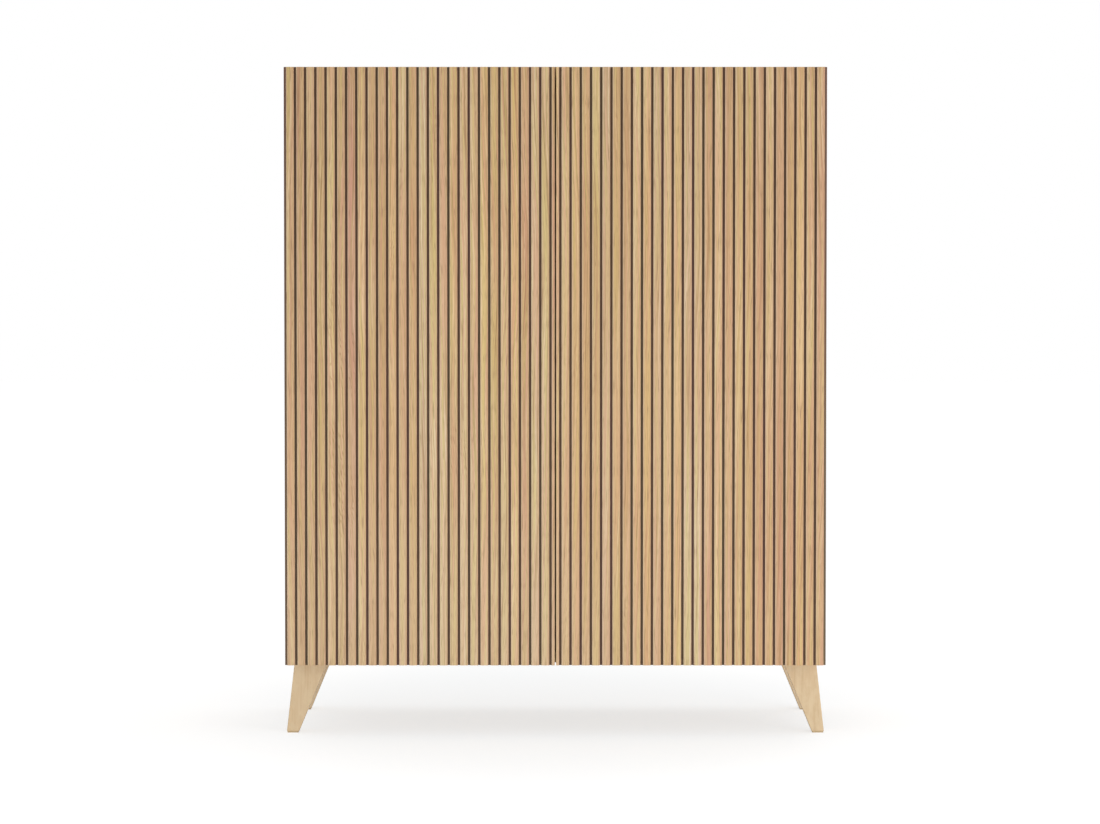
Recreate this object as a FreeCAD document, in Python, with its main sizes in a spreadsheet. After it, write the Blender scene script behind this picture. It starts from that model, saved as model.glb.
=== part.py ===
import FreeCAD, Part
import os
import re

import Sketcher

# Two-door cabinet with upright slats on its doors, standing on four splayed plank legs.
# Millimetres. X runs to the right, Y to the back and Z up. The origin is on the floor, in the
# middle of the cabinet's outline, so the doors face -Y.

# ---------------------------------------------------------------- driving dimensions
SIZES = {
    # carcass
    "cabinet_width": 800,
    "carcass_depth": 376,
    "carcass_height": 880,
    "board_thickness": 16,
    "back_thickness": 3,
    "back_inset": 12,
    "groove_depth": 6,
    "groove_play": 0.15,
    # legs
    "leg_height": 106,
    "leg_thickness": 35,
    "leg_top_width": 50,
    "leg_foot_width": 18,
    "leg_side_inset": 12,
    "leg_splay": 12,
    "leg_end_inset": 28,
    "leg_edge_radius": 1,
    "glide_thickness": 2,
    "glide_inset": 0.8,
    "leg_bolt_radius": 3,
    "leg_bolt_play": 0.2,
    "leg_bolt_head_radius": 6,
    "leg_bolt_head_height": 3,
    "leg_bolt_reach": 30,
    "leg_bolt_spacing": 18,
    "insert_radius": 5,
    "insert_length": 20,
    # doors
    "door_gap": 3,
    "door_reveal": 1,
    "door_overhang": 2,
    "meeting_gap": 2,
    "door_board_thickness": 16,
    "slat_thickness": 5,
    "slat_width": 11.5,
    "slat_spacing": 3.5,
    "slat_edge_radius": 0.5,
    # shelves
    "lower_shelf_height": 272,
    "upper_shelf_height": 560,
    "shelf_setback": 20,
    "shelf_side_gap": 1,
    "shelf_back_gap": 2,
    "pin_radius": 2.5,
    "pin_reach": 9,
    "pin_collar_radius": 4,
    "pin_collar_thickness": 0.8,
    "front_row_inset": 37,
    "rear_row_inset": 60,
    "row_pitch": 32,
    # knock-down fittings
    "cam_radius": 7.5,
    "cam_depth": 12.5,
    "cam_setback": 24,
    "cam_inset": 70,
    "cam_bolt_radius": 2.2,
    "cam_bolt_head_radius": 3.4,
    "cam_bolt_head_length": 4,
    "cam_thread_radius": 2.5,
    "cam_thread_length": 11,
    "bolt_bore_radius": 4,
    "dowel_radius": 4,
    "dowel_in_panel": 10,
    "dowel_in_side": 22,
    "dowel_inset": 38,
    "snug": 0.05,
    # hinges
    "hinge_end_distance": 100,
    "cup_edge_distance": 3,
    "cup_radius": 17.5,
    "cup_depth": 13,
    "cup_wall": 0.8,
    "flange_radius": 18.3,
    "flange_thickness": 1.2,
    "ear_radius": 5,
    "ear_offset": 9.5,
    "ear_spacing": 48,
    "hinge_pin_radius": 1.25,
    "hinge_pin_length": 19,
    "hinge_pin_play": 0.05,
    "hinge_pin_inset": 4.2,
    "hinge_pin_depth": 9.8,
    "eye_radius": 2.1,
    "hinge_side_play": 0.3,
    "arm_width": 9,
    "arm_thickness": 3,
    "arm_offset": 4.2,
    "arm_length": 58,
    "arm_wall": 1.4,
    "cheek_length": 4.6,
    "cheek_width": 5.4,
    "plate_thickness": 2,
    "plate_wing_height": 46,
    "plate_wing_width": 14,
    "plate_screw_spacing": 32,
    "plate_rail_start": 12,
    # screws
    "screw_radius": 1.75,
    "screw_head_radius": 3.4,
    "screw_head_height": 1.6,
    "screw_length": 12,
    "recess_width": 0.9,
    "recess_reach": 2,
    "recess_depth": 0.8,
    "latch_screw_length": 11,
    # push latches
    "latch_centre": 14,
    "latch_width": 16,
    "latch_height": 14,
    "latch_length": 74,
    "latch_setback": 2,
    "latch_ear_length": 12,
    "latch_ear_thickness": 3,
    "plunger_radius": 4.2,
    "plunger_length": 46,
    "plunger_play": 0.3,
    "magnet_radius": 3.2,
    "magnet_thickness": 2,
    "strike_radius": 7,
    "strike_thickness": 1,
    "touch_gap": 0.3,
    "bumper_radius": 4,
    "bumper_inset": 30,
    # anti-tip brackets
    "bracket_inset": 120,
    "bracket_width": 34,
    "bracket_leg": 20,
    "bracket_thickness": 2,
    "bracket_hole_radius": 2.75,
    "bracket_screw_spacing": 17,
}

# ---------------------------------------------------------------- lengths that follow from them
FORMULAS = {
    "half_width": "cabinet_width / 2",
    "total_depth": "carcass_depth + door_gap + door_board_thickness + slat_thickness",
    "carcass_front": "total_depth / 2 - carcass_depth",
    "carcass_back": "total_depth / 2",
    "base_z": "leg_height + glide_thickness",
    "floor_z": "base_z + board_thickness",
    "top_z": "base_z + carcass_height",
    "ceiling_z": "top_z - board_thickness",
    "inner_half": "half_width - board_thickness",
    "board_middle": "board_thickness / 2",
    "back_front": "carcass_back - back_inset - back_thickness",
    "slat_pitch": "slat_width + slat_spacing",
    "door_width": "half_width - door_reveal - meeting_gap / 2",
    "door_bottom": "base_z - door_overhang",
    "door_height": "top_z - door_reveal - door_bottom",
    "door_back": "carcass_front - door_gap",
    "door_face": "door_back - door_board_thickness",
    "cam_bolt_length": "cam_setback - cam_bolt_head_length / 2",
    "cup_inset": "door_reveal + cup_edge_distance + cup_radius",
    "pin_inset": "door_reveal + cup_edge_distance + hinge_pin_inset",
    "pin_forward": "door_gap + hinge_pin_depth",
    "cup_floor_forward": "door_gap + cup_depth - cup_wall",
    "hook_outer": "cup_floor_forward - hinge_side_play",
    "hook_inner": "hook_outer - arm_thickness",
    "neck_inset": "board_thickness + arm_offset",
    "lower_hinge_z": "door_bottom + hinge_end_distance",
    "upper_hinge_z": "door_bottom + door_height - hinge_end_distance",
    "latch_z": "ceiling_z - latch_height / 2",
    "latch_front": "carcass_front + latch_setback",
    "plunger_tip": "door_back + strike_thickness + touch_gap",
    "foot_inner": "half_width - leg_side_inset + leg_splay - leg_foot_width",
    "leg_top_outer": "half_width - leg_side_inset",
}

SIDES = {"left": -1, "right": 1}
AXES = {
    "x": FreeCAD.Vector(1, 0, 0),
    "y": FreeCAD.Vector(0, 1, 0),
    "z": FreeCAD.Vector(0, 0, 1),
}
SHELF_HOLES_EACH_WAY = 2
NARROWEST_SLAT = 2
TINY = 1e-3

doc = FreeCAD.newDocument("SlattedCabinet")
sheet = doc.addObject("Spreadsheet::Sheet", "Sizes")
for row, (alias, size) in enumerate(SIZES.items(), start=1):
    sheet.set(f"A{row}", alias)
    sheet.set(f"B{row}", str(size))
    sheet.setAlias(f"B{row}", alias)
doc.recompute()

nodes = {}


# ---------------------------------------------------------------- helpers
def formula(text):
    """Turn a formula of plain names into an expression on the sheet."""

    def swap(match):
        word = match.group(0)
        if word in FORMULAS:
            return f"({formula(FORMULAS[word])})"
        return f"Sizes.{word}" if word in SIZES else word

    return re.sub(r"[a-z][a-z_0-9]*", swap, str(text))


def bind(thing, **properties):
    """Bind properties of a document object to formulas."""
    for name, text in properties.items():
        thing.setExpression(name, formula(text))
    return thing


def place(thing, x, y, z):
    for letter, text in zip("xyz", (x, y, z)):
        thing.setExpression(f"Placement.Base.{letter}", formula(text))
    return thing


def box(name, corner, size):
    """A block from its lowest corner and its size."""
    block = doc.addObject("Part::Box", name)
    bind(block, Length=size[0], Width=size[1], Height=size[2])
    return place(block, *corner)


def rod(name, start, radius, length, axis):
    """A round bar that starts at a point and runs along +axis."""
    bar = doc.addObject("Part::Cylinder", name)
    bar.Placement.Rotation = FreeCAD.Rotation(AXES["z"], AXES[axis])
    bind(bar, Radius=radius, Height=length)
    return place(bar, *start)


def fuse(name, pieces):
    joined = doc.addObject("Part::MultiFuse", name)
    joined.Shapes = pieces
    return joined


def group(name, pieces):
    """Separate solids that share one node."""
    bundle = doc.addObject("Part::Compound", name)
    bundle.Links = pieces
    return bundle


def carve(name, blank, tools):
    """A blank with its bores, grooves and pockets cut out."""
    carved = doc.addObject("Part::Cut", name)
    carved.Base = blank
    carved.Tool = tools[0] if len(tools) == 1 else fuse(f"{name}_cutters", tools)
    return carved


def recess(name, face, axis):
    """Two crossed blades that cut a screwdriver recess into a face, from its middle."""
    wide, thin, deep = "2 * recess_reach", "recess_width", "2 * recess_depth"
    across = [letter for letter in "xyz" if letter != axis]
    blades = []
    for blade, widths in (("a", (wide, thin)), ("b", (thin, wide))):
        size = {axis: deep, across[0]: widths[0], across[1]: widths[1]}
        corner = [f"{middle} - {size[letter]} / 2" for middle, letter in zip(face, "xyz")]
        blades.append(box(f"{name}_recess_{blade}", corner, [size[letter] for letter in "xyz"]))
    return blades


def screw(name, shank, head, face, axis):
    """A shank and a head with a recess in the middle of its outer face."""
    return fuse(name, [shank, carve(f"{name}_head", head, recess(name, face, axis))])


def node(label, thing):
    """Give a finished sub-part the name of its file."""
    thing.Label = label
    nodes[label] = thing
    return thing


def from_side(side, inset, width="0"):
    """Lowest X of something that starts `inset` in from the side's outer face."""
    if SIDES[side] > 0:
        return f"half_width - ({inset}) - ({width})"
    return f"({inset}) - half_width"


def side_box(name, side, inset, forward, low_z, width, depth, height):
    """A block from its inset from the side and its forward place from the carcass front."""
    corner = (from_side(side, inset, width), f"carcass_front - ({forward}) - ({depth})", low_z)
    return box(name, corner, (width, depth, height))


def side_rod(name, side, inset, radius, length, y, z):
    """A round bar along X that starts `inset` in from the side and runs inwards."""
    return rod(name, (from_side(side, inset, length), y, z), radius, length, "x")


def corner_places():
    """The carcass joints: side, end of the side panel, and front or rear."""
    for side in SIDES:
        for end in ("bottom", "top"):
            for row in ("front", "rear"):
                yield side, end, row


def row_y(row, inset):
    return f"carcass_front + {inset}" if row == "front" else f"carcass_back - {inset}"


def shelf_row_y(row):
    return row_y(row, "front_row_inset" if row == "front" else "rear_row_inset")


def hinge_places():
    for side in SIDES:
        for level in ("lower", "upper"):
            yield side, level


# ---------------------------------------------------------------- knock-down fittings
def joint_x(side):
    return f"{SIDES[side]} * (half_width - board_middle)"


def along_joint(end, into_panel, into_side):
    """Start and length of a bar that crosses the joint at an end of a side panel."""
    if end == "bottom":
        return f"floor_z - ({into_panel})", f"({into_panel}) + ({into_side})"
    return f"ceiling_z - ({into_side})", f"({into_panel}) + ({into_side})"


def cam_z(end):
    return "floor_z + cam_setback" if end == "bottom" else "ceiling_z - cam_setback"


def joint_rod(name, side, end, row, inset, radius, into_panel, into_side):
    start, length = along_joint(end, into_panel, into_side)
    return rod(name, (joint_x(side), row_y(row, inset), start), radius, length, "z")


def cam_bore(name, side, end, row, shrink):
    y = row_y(row, "cam_inset")
    depth = f"cam_depth - {shrink}"
    return side_rod(name, side, "board_thickness - (" + depth + ")", f"cam_radius - {shrink}",
                    depth, y, cam_z(end))


def make_fittings():
    cams, bolts, dowels = [], [], []
    for side, end, row in corner_places():
        tag = f"{side}_{end}_{row}"
        channel = joint_rod(f"cam_channel_{tag}", side, end, row, "cam_inset",
                            "bolt_bore_radius - snug", "0", "cam_setback + cam_bolt_head_length")
        drum = cam_bore(f"cam_blank_{tag}", side, end, row, "snug")
        face = (f"{SIDES[side]} * inner_half", row_y(row, "cam_inset"), cam_z(end))
        cams.append(carve(f"cam_{tag}", drum, [channel] + recess(f"cam_{tag}", face, "x")))
        thread = joint_rod(f"bolt_thread_{tag}", side, end, row, "cam_inset",
                           "cam_thread_radius", "cam_thread_length", "0")
        shank = joint_rod(f"bolt_shank_{tag}", side, end, row, "cam_inset",
                          "cam_bolt_radius", "0", "cam_bolt_length")
        head = rod(f"bolt_head_{tag}", (joint_x(side), row_y(row, "cam_inset"),
                                        f"{cam_z(end)} - cam_bolt_head_length / 2"),
                   "cam_bolt_head_radius", "cam_bolt_head_length", "z")
        bolts.append(fuse(f"bolt_{tag}", [thread, shank, head]))
        dowels.append(joint_rod(f"dowel_{tag}", side, end, row, "dowel_inset",
                                "dowel_radius", "dowel_in_panel", "dowel_in_side"))
    node("cam_locks", group("cam_locks", cams))
    node("cam_bolts", group("cam_bolts", bolts))
    node("wood_dowels", group("wood_dowels", dowels))


# ---------------------------------------------------------------- carcass
def fitting_bores_in_panel(end):
    """Holes of the cam bolts and dowels in the top or bottom panel."""
    bores = []
    for side, this_end, row in corner_places():
        if this_end == end:
            tag = f"{end}_{side}_{row}"
            bores.append(joint_rod(f"thread_hole_{tag}", side, end, row, "cam_inset",
                                   "cam_thread_radius + snug", "cam_thread_length + snug", "0"))
            bores.append(joint_rod(f"dowel_hole_{tag}", side, end, row, "dowel_inset",
                                   "dowel_radius + snug", "dowel_in_panel + snug", "0"))
    return bores


def back_groove(name, low_z):
    """The groove for the back panel in the top or bottom panel."""
    return box(name, ("-inner_half - groove_depth", "back_front - groove_play", low_z),
               ("2 * (inner_half + groove_depth)", "back_thickness + 2 * groove_play",
                "groove_depth"))


def wide_panel(name, low_z, cutters):
    blank = box(f"{name}_blank", ("-half_width", "carcass_front", low_z),
                ("cabinet_width", "carcass_depth", "board_thickness"))
    return node(name, carve(name, blank, cutters))


def make_top_and_bottom():
    top_cuts = fitting_bores_in_panel("top") + [back_groove("top_groove", "ceiling_z")]
    for side in SIDES:
        top_cuts += latch_screw_rods("latch_pilot", side, "snug", "0")
        top_cuts += bracket_screw_rods("bracket_pilot", side, "snug", "0")
    wide_panel("top_panel", "ceiling_z", top_cuts)
    bottom_cuts = fitting_bores_in_panel("bottom")
    bottom_cuts.append(back_groove("bottom_groove", "floor_z - groove_depth"))
    bottom_cuts += [rod(f"leg_bolt_hole_{tag}", (x, y, "base_z"), "leg_bolt_radius + leg_bolt_play",
                        "board_thickness", "z") for tag, x, y in leg_bolt_places()]
    wide_panel("bottom_panel", "base_z", bottom_cuts)


def shelf_holes(side, shelf):
    """A short column of holes, front and rear, around a shelf's present place."""
    holes = []
    for row in ("front", "rear"):
        for step in range(-SHELF_HOLES_EACH_WAY, SHELF_HOLES_EACH_WAY + 1):
            z = f"floor_z + {shelf}_shelf_height + {step} * row_pitch"
            name = f"shelf_hole_{side}_{shelf}_{row}_{step + SHELF_HOLES_EACH_WAY}"
            holes.append(side_rod(name, side, "board_thickness - pin_reach - snug",
                                  "pin_radius + snug", "pin_reach + snug", shelf_row_y(row), z))
    return holes


def make_side(side):
    name = f"{side}_side_panel"
    blank = box(f"{name}_blank", (from_side(side, "0", "board_thickness"), "carcass_front", "floor_z"),
                ("board_thickness", "carcass_depth", "ceiling_z - floor_z"))
    cutters = [box(f"{side}_groove",
                   (from_side(side, "board_thickness - groove_depth", "groove_depth"),
                    "back_front - groove_play", "floor_z"),
                   ("groove_depth", "back_thickness + 2 * groove_play", "ceiling_z - floor_z"))]
    for this_side, end, row in corner_places():
        if this_side == side:
            tag = f"{side}_{end}_{row}"
            cutters.append(cam_bore(f"cam_bore_{tag}", side, end, row, "0"))
            cutters.append(joint_rod(f"bolt_bore_{tag}", side, end, row, "cam_inset",
                                     "bolt_bore_radius", "0", "cam_setback"))
            cutters.append(joint_rod(f"dowel_bore_{tag}", side, end, row, "dowel_inset",
                                     "dowel_radius + snug", "0", "dowel_in_side + snug"))
    for shelf in ("lower", "upper"):
        cutters += shelf_holes(side, shelf)
    for level in ("lower", "upper"):
        cutters += plate_screw_places("plate_pilot", side, level, "snug", True)
    node(name, carve(name, blank, cutters))


def make_back():
    play = "(groove_depth - groove_play)"
    blank = box("back_blank", (f"-inner_half - {play}", "back_front", f"floor_z - {play}"),
                (f"2 * (inner_half + {play})", "back_thickness",
                 f"ceiling_z - floor_z + 2 * {play}"))
    holes = [rod(f"wall_screw_hole_{side}", (bracket_x(side), "back_front", bracket_hole_z()),
                 "bracket_hole_radius", "back_thickness", "y") for side in SIDES]
    node("back_panel", carve("back_panel", blank, holes))


def make_shelf(shelf):
    low_z = f"floor_z + {shelf}_shelf_height + pin_radius"
    node(f"{shelf}_shelf", box(f"{shelf}_shelf",
                               ("-inner_half + shelf_side_gap", "carcass_front + shelf_setback", low_z),
                               ("2 * (inner_half - shelf_side_gap)",
                                "back_front - shelf_back_gap - carcass_front - shelf_setback",
                                "board_thickness")))


def make_shelf_pins():
    pins = []
    for side in SIDES:
        for shelf in ("lower", "upper"):
            for row in ("front", "rear"):
                tag = f"{side}_{shelf}_{row}"
                z = f"floor_z + {shelf}_shelf_height"
                bar = side_rod(f"pin_bar_{tag}", side, "board_thickness - pin_reach", "pin_radius",
                               "2 * pin_reach", shelf_row_y(row), z)
                collar = side_rod(f"pin_collar_{tag}", side, "board_thickness", "pin_collar_radius",
                                  "pin_collar_thickness", shelf_row_y(row), z)
                pins.append(fuse(f"pin_{tag}", [bar, collar]))
    node("shelf_pins", group("shelf_pins", pins))


# ---------------------------------------------------------------- legs
def leg_y(row):
    """Middle of a leg's thickness."""
    inset = "leg_end_inset + leg_thickness / 2"
    return row_y(row, f"({inset})") if row == "front" else f"carcass_back - ({inset})"


def leg_bolt_places():
    """Two bolts in each leg, side by side across its top."""
    for side, sign in SIDES.items():
        for row in ("front", "rear"):
            for step, half in (("inner", -0.5), ("outer", 0.5)):
                middle = "leg_top_outer - leg_top_width / 2"
                x = f"{sign} * ({middle} + {half} * leg_bolt_spacing)"
                yield f"{side}_{row}_{step}", x, leg_y(row)


def hold(sketch, kind, first, second, text, name):
    """Name a distance between two sketch points and bind it."""
    number = sketch.addConstraint(Sketcher.Constraint(kind, *first, *second, 1.0))
    sketch.renameConstraint(number, name)
    sketch.setExpression(f"Constraints.{name}", formula(text))


def sketch_on(body, role, name):
    plane = next(item for item in body.Origin.OriginFeatures if item.Role == role)
    sketch = body.newObject("Sketcher::SketchObject", name)
    sketch.AttachmentSupport = [(plane, "")]
    sketch.MapMode = "FlatFace"
    return sketch


def closed_outline(sketch, points):
    """Straight edges through rough points, joined end to end."""
    first = sketch.GeometryCount
    corners = [FreeCAD.Vector(x, y, 0) for x, y in points]
    for start, end in zip(corners, corners[1:] + corners[:1]):
        sketch.addGeometry(Part.LineSegment(start, end), False)
    count = len(corners)
    for step in range(count):
        sketch.addConstraint(Sketcher.Constraint("Coincident", first + step, 2,
                                                 first + (step + 1) % count, 1))
    return first


def make_leg(side, row):
    """A plank that leans outwards, wide at the top and narrow at the foot."""
    name = f"{row}_{side}_leg"
    sign = SIDES[side]
    body = doc.addObject("PartDesign::Body", f"{name}_plank")
    sketch = sketch_on(body, "XZ_Plane", f"{name}_outline")
    rough = [(sign * x, z) for x, z in ((1, 0), (2, 0), (3, 1), (0.5, 1))]
    first = closed_outline(sketch, rough)
    origin, foot, top = (-1, 1), first, first + 2
    sketch.addConstraint(Sketcher.Constraint("Horizontal", foot))
    sketch.addConstraint(Sketcher.Constraint("Horizontal", top))
    places = {
        "foot_inner": ((foot, 1), "foot_inner"),
        "foot_outer": ((foot, 2), "foot_inner + leg_foot_width"),
        "top_outer": ((top, 1), "leg_top_outer"),
        "top_inner": ((top, 2), "leg_top_outer - leg_top_width"),
    }
    for label, (point, text) in places.items():
        first_point, second_point = (origin, point) if sign > 0 else (point, origin)
        hold(sketch, "DistanceX", first_point, second_point, text, f"{label}_x")
    hold(sketch, "DistanceY", origin, (foot, 1), "glide_thickness", "foot_z")
    hold(sketch, "DistanceY", origin, (top, 1), "base_z", "top_z")
    pad = body.newObject("PartDesign::Pad", f"{name}_pad")
    pad.Profile = sketch
    pad.SideType = "Symmetric"
    bind(pad, Length="leg_thickness")
    doc.recompute()
    rounding = body.newObject("PartDesign::Fillet", f"{name}_rounding")
    top = pad.Shape.BoundBox.ZMax
    rounding.Base = (pad, edges_of(pad, lambda edge: edge.BoundBox.ZMin < top - TINY))
    bind(rounding, Radius="leg_edge_radius")
    place(body, "0", leg_y(row), "0")
    bores = [rod(f"insert_bore_{tag}", (x, y, "base_z - insert_length - snug"), "insert_radius + snug",
                 "insert_length + snug", "z")
             for tag, x, y in leg_bolt_places() if tag.startswith(f"{side}_{row}")]
    bores += [rod(f"bolt_run_{tag}", (x, y, "base_z - leg_bolt_reach"), "leg_bolt_radius + leg_bolt_play",
                  "leg_bolt_reach", "z")
              for tag, x, y in leg_bolt_places() if tag.startswith(f"{side}_{row}")]
    node(name, carve(name, body, bores))


def edges_of(feature, wanted):
    return [f"Edge{number}" for number, edge in enumerate(feature.Shape.Edges, start=1) if wanted(edge)]


def make_leg_hardware():
    bolts, inserts, glides = [], [], []
    for tag, x, y in leg_bolt_places():
        shank = rod(f"leg_bolt_shank_{tag}", (x, y, "floor_z - leg_bolt_reach"), "leg_bolt_radius",
                    "leg_bolt_reach", "z")
        head = rod(f"leg_bolt_head_{tag}", (x, y, "floor_z"), "leg_bolt_head_radius",
                   "leg_bolt_head_height", "z")
        bolts.append(screw(f"leg_bolt_{tag}", shank, head, (x, y, "floor_z + leg_bolt_head_height"), "z"))
        sleeve = rod(f"insert_sleeve_{tag}", (x, y, "base_z - insert_length"), "insert_radius",
                     "insert_length", "z")
        thread = rod(f"insert_thread_{tag}", (x, y, "base_z - insert_length"), "leg_bolt_radius + snug",
                     "insert_length", "z")
        inserts.append(carve(f"insert_{tag}", sleeve, [thread]))
    for side, sign in SIDES.items():
        for row in ("front", "rear"):
            corner = (f"{sign} * (foot_inner + leg_foot_width / 2) - leg_foot_width / 2 + glide_inset",
                      f"{leg_y(row)} - leg_thickness / 2 + glide_inset", "0")
            glides.append(box(f"glide_{side}_{row}", corner,
                              ("leg_foot_width - 2 * glide_inset", "leg_thickness - 2 * glide_inset",
                               "glide_thickness")))
    node("leg_bolts", group("leg_bolts", bolts))
    node("leg_inserts", group("leg_inserts", inserts))
    node("leg_glides", group("leg_glides", glides))


# ---------------------------------------------------------------- doors
def hinge_z(level):
    return f"{level}_hinge_z"


def cup_ears():
    """The two screw ears of a cup: below and above its middle."""
    return (("below", "-ear_spacing / 2"), ("above", "ear_spacing / 2"))


def cup_screw_rods(prefix, side, level, wider):
    """The shanks of a cup's screws, in the door board."""
    return [rod(f"{prefix}_{side}_{level}_{ear}",
                (f"{SIDES[side]} * (half_width - cup_inset - ear_offset)",
                 "door_back - screw_length", f"{hinge_z(level)} + {rise}"),
                f"screw_radius + {wider}", "screw_length + flange_thickness", "y")
            for ear, rise in cup_ears()]


def make_door_board(side):
    name = f"{side}_door_board"
    blank = box(f"{name}_blank", (from_side(side, "door_reveal", "door_width"), "door_face", "door_bottom"),
                ("door_width", "door_board_thickness", "door_height"))
    cutters = []
    for level in ("lower", "upper"):
        cutters.append(rod(f"cup_bore_{side}_{level}",
                           (f"{SIDES[side]} * (half_width - cup_inset)", "door_back - cup_depth - snug",
                            hinge_z(level)),
                           "cup_radius + snug", "cup_depth + snug", "y"))
        cutters += cup_screw_rods("cup_pilot", side, level, "snug")
    node(name, carve(name, blank, cutters))


def slat(body, side, name, start, width, span):
    """One upright slat with rounded front edges. `span` is its two distances to the outer edge."""
    sketch = sketch_on(body, "XY_Plane", f"{name}_outline")
    sign = SIDES[side]
    rough = [(-sign * x, y) for x, y in ((1, 0), (2, 0), (2, 1), (1, 1))]
    first = closed_outline(sketch, rough)
    for step in (0, 2):
        sketch.addConstraint(Sketcher.Constraint("Horizontal", first + step))
        sketch.addConstraint(Sketcher.Constraint("Vertical", first + step + 1))
    origin, near, far = (-1, 1), (first, 1), (first, 2)
    outward, inward = (near, origin), (far, near)
    if sign < 0:
        outward, inward = outward[::-1], inward[::-1]
    hold(sketch, "DistanceX", *outward, start, "start")
    hold(sketch, "DistanceX", *inward, width, "width")
    hold(sketch, "DistanceY", near, (first + 2, 2), "slat_thickness", "thickness")
    sketch.addConstraint(Sketcher.Constraint("PointOnObject", first, 1, -1))
    pad = body.newObject("PartDesign::Pad", f"{name}_pad")
    pad.Profile = sketch
    bind(pad, Length="door_height")
    doc.recompute()

    def in_front(edge):
        place_x = abs(edge.CenterOfMass.x)
        upright = edge.BoundBox.ZLength > edge.BoundBox.XLength
        return upright and edge.CenterOfMass.y < TINY and span[0] - TINY < place_x < span[1] + TINY

    rounding = body.newObject("PartDesign::Fillet", f"{name}_rounding")
    rounding.Base = (pad, edges_of(pad, in_front))
    bind(rounding, Radius="slat_edge_radius")
    return pad, rounding


def size_of(alias):
    return float(sheet.get(alias))


def make_slats(side):
    """Whole slats from the outer edge, then a narrow one that fills up to the meeting edge."""
    name = f"{side}_door_slats"
    spacing = size_of("slat_spacing")
    pitch = size_of("slat_width") + spacing
    width = size_of("cabinet_width") / 2 - size_of("door_reveal") - size_of("meeting_gap") / 2
    count = int((width + TINY) // pitch)
    meeting_start = count * pitch + spacing
    body = doc.addObject("PartDesign::Body", name)
    pad, rounding = slat(body, side, f"{side}_slat", "slat_spacing", "slat_width", (spacing, pitch))
    row = body.newObject("PartDesign::LinearPattern", f"{side}_slat_row")
    row.Originals = [pad, rounding]
    direction = next(item for item in body.Origin.OriginFeatures if item.Role == "X_Axis")
    row.Direction = (direction, [""])
    row.Reversed = SIDES[side] > 0
    row.Occurrences = count
    bind(row, Length=f"{count - 1} * slat_pitch")
    body.Tip = row
    doc.recompute()
    if width - meeting_start > NARROWEST_SLAT:
        start = f"{count} * slat_pitch + slat_spacing"
        slat(body, side, f"{side}_meeting_slat", start, f"door_width - ({start})",
             (meeting_start, width))
        body.Tip = body.Group[-1]
    place(body, from_side(side, "door_reveal"), "door_face - slat_thickness", "door_bottom")
    node(name, body)


def make_door_trim(side):
    """The strike plate of the latch and the bumpers on the back of a door."""
    sign = SIDES[side]
    node(f"{side}_strike_plate",
         rod(f"{side}_strike_plate", (f"{sign} * latch_centre", "door_back", "latch_z"),
             "strike_radius", "strike_thickness", "y"))
    bumpers = []
    for end, z in (("lower", "floor_z - board_middle"), ("upper", "ceiling_z + board_middle")):
        bumpers.append(rod(f"bumper_{side}_{end}",
                           (f"{sign} * (meeting_gap / 2 + bumper_inset)", "door_back", z),
                           "bumper_radius", "door_gap - touch_gap", "y"))
    node(f"{side}_door_bumpers", group(f"{side}_door_bumpers", bumpers))


# ---------------------------------------------------------------- hinges
def make_cup(side, level):
    """A pressed cup with a flange, two screw ears and two cheeks that carry the hinge pin."""
    tag = f"{side}_{level}"
    z = hinge_z(level)
    middle = f"{SIDES[side]} * (half_width - cup_inset)"
    shell = rod(f"cup_shell_{tag}", (middle, "door_back - cup_depth", z), "cup_radius", "cup_depth", "y")
    flange = rod(f"cup_flange_{tag}", (middle, "door_back", z), "flange_radius", "flange_thickness", "y")
    ears = [rod(f"cup_ear_{tag}_{ear}",
                (f"{SIDES[side]} * (half_width - cup_inset - ear_offset)", "door_back",
                 f"{z} + {rise}"), "ear_radius", "flange_thickness", "y") for ear, rise in cup_ears()]
    web = side_box(f"cup_web_{tag}", side, "cup_inset + ear_offset - ear_radius",
                   "door_gap - flange_thickness", f"{z} - ear_spacing / 2",
                   "2 * ear_radius", "flange_thickness", "ear_spacing")
    solid = fuse(f"cup_solid_{tag}", [shell, flange, web] + ears)
    hollow = rod(f"cup_hollow_{tag}", (middle, "door_back - cup_depth + cup_wall", z),
                 "cup_radius - cup_wall", "cup_depth + flange_thickness - cup_wall", "y")
    screws = cup_screw_rods(f"cup_screw_hole_{level}", side, level, "snug")
    open_cup = carve(f"cup_open_{tag}", solid, [hollow] + screws)
    cheeks = []
    for half, low in (("below", f"{z} - arm_width / 2 - hinge_side_play - cheek_width"),
                      ("above", f"{z} + arm_width / 2 + hinge_side_play")):
        block = side_box(f"cheek_block_{tag}_{half}", side, "door_reveal + cup_edge_distance",
                         "cup_floor_forward - cheek_length", low,
                         "hinge_pin_inset + cheek_length / 2", "cheek_length", "cheek_width")
        within = rod(f"cheek_limit_{tag}_{half}", (middle, "door_back - cup_depth", z), "cup_radius",
                     "cup_depth", "y")
        cheek = doc.addObject("Part::Common", f"cheek_{tag}_{half}")
        cheek.Base = block
        cheek.Tool = within
        cheeks.append(cheek)
    whole = fuse(f"cup_whole_{tag}", [open_cup] + cheeks)
    bore = pin_rod(f"cup_pin_bore_{tag}", side, level, "snug / 2", "hinge_pin_length + snug")
    node(f"{side}_{level}_hinge_cup", carve(f"{side}_{level}_hinge_cup", whole, [bore]))


def pin_rod(name, side, level, wider, length):
    """A bar on the door's swing axis."""
    start = (f"{SIDES[side]} * (half_width - pin_inset)", "carcass_front - pin_forward",
             f"{hinge_z(level)} - ({length}) / 2")
    return rod(name, start, f"hinge_pin_radius + {wider}", length, "z")


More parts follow.
